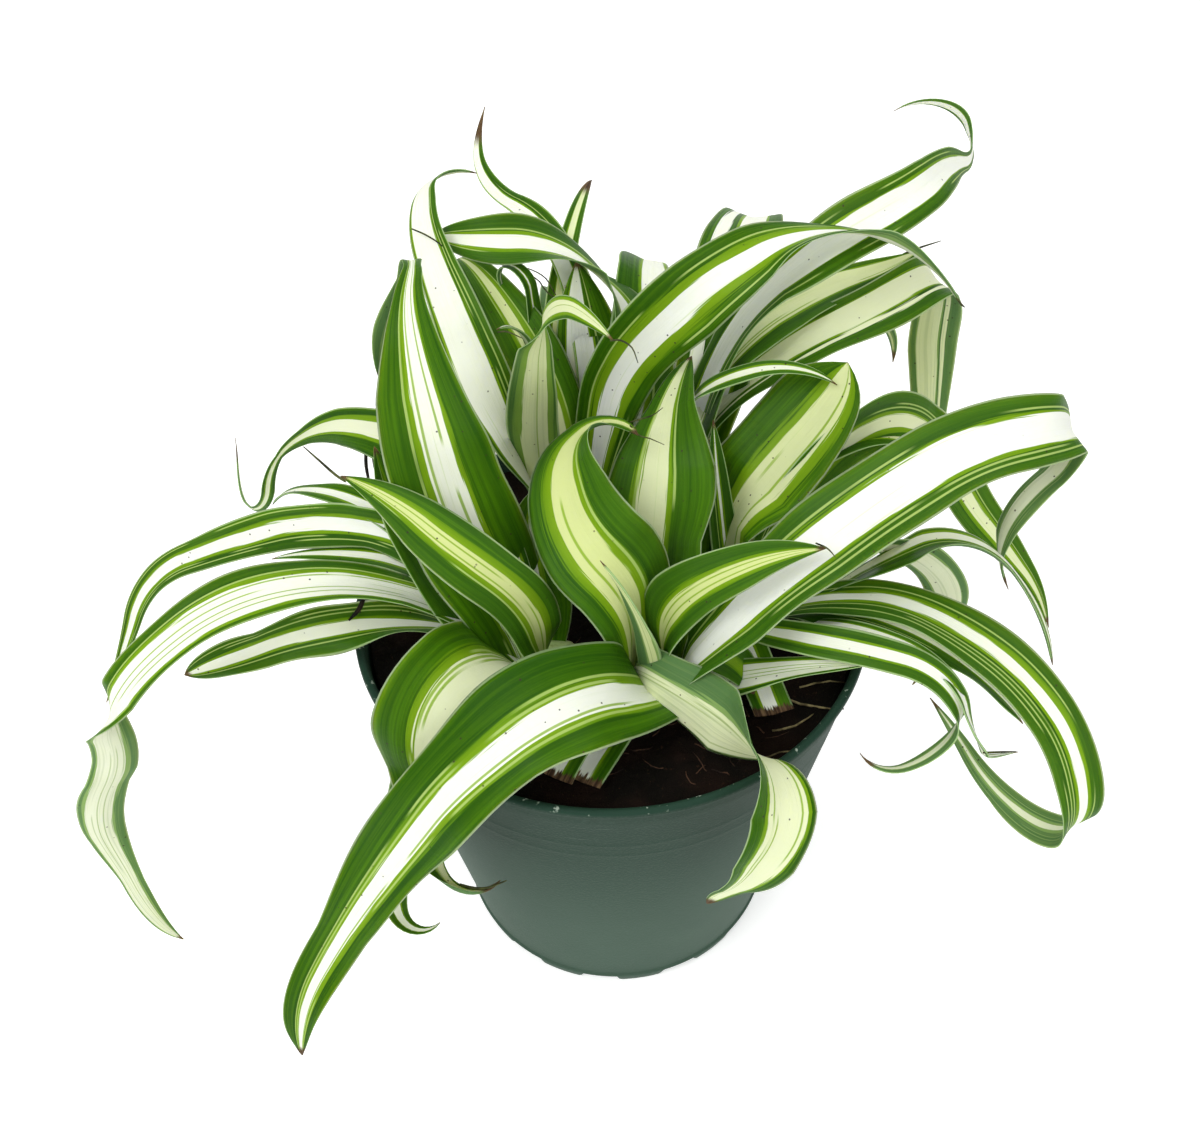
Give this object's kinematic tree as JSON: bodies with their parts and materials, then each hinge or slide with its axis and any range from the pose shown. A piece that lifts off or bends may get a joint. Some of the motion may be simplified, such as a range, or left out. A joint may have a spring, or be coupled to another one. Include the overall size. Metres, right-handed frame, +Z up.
{
  "type": "potted spider plant",
  "caption": "Spider plant with long arching green and white striped leaves, growing from leafy crowns in a round tapered nursery pot filled with dark soil.",
  "frame": {"origin": "centre of the pot's underside, where it rests", "axes": "+Z up the pot's axis; +X to the right and -Y towards the viewer in the picture; the leaves reach furthest along X"},
  "size_m": [0.2384, 0.1884, 0.1814],
  "materials": {
    "pot_plastic": "matt grey-green moulded plastic, scuffed along the rim",
    "soil": "damp dark peat with reddish fibres and bits of straw",
    "leaf": "satin green leaf with cream and white lengthwise stripes, brown dried tips"
  },
  "bodies": {
    "root": {"pot": "pot_plastic", "soil": "soil", "crown_front": "leaf", "crown_left": "leaf", "crown_back_left": "leaf", "crown_back_right": "leaf", "crown_right": "leaf"}
  },
  "joints": []
}
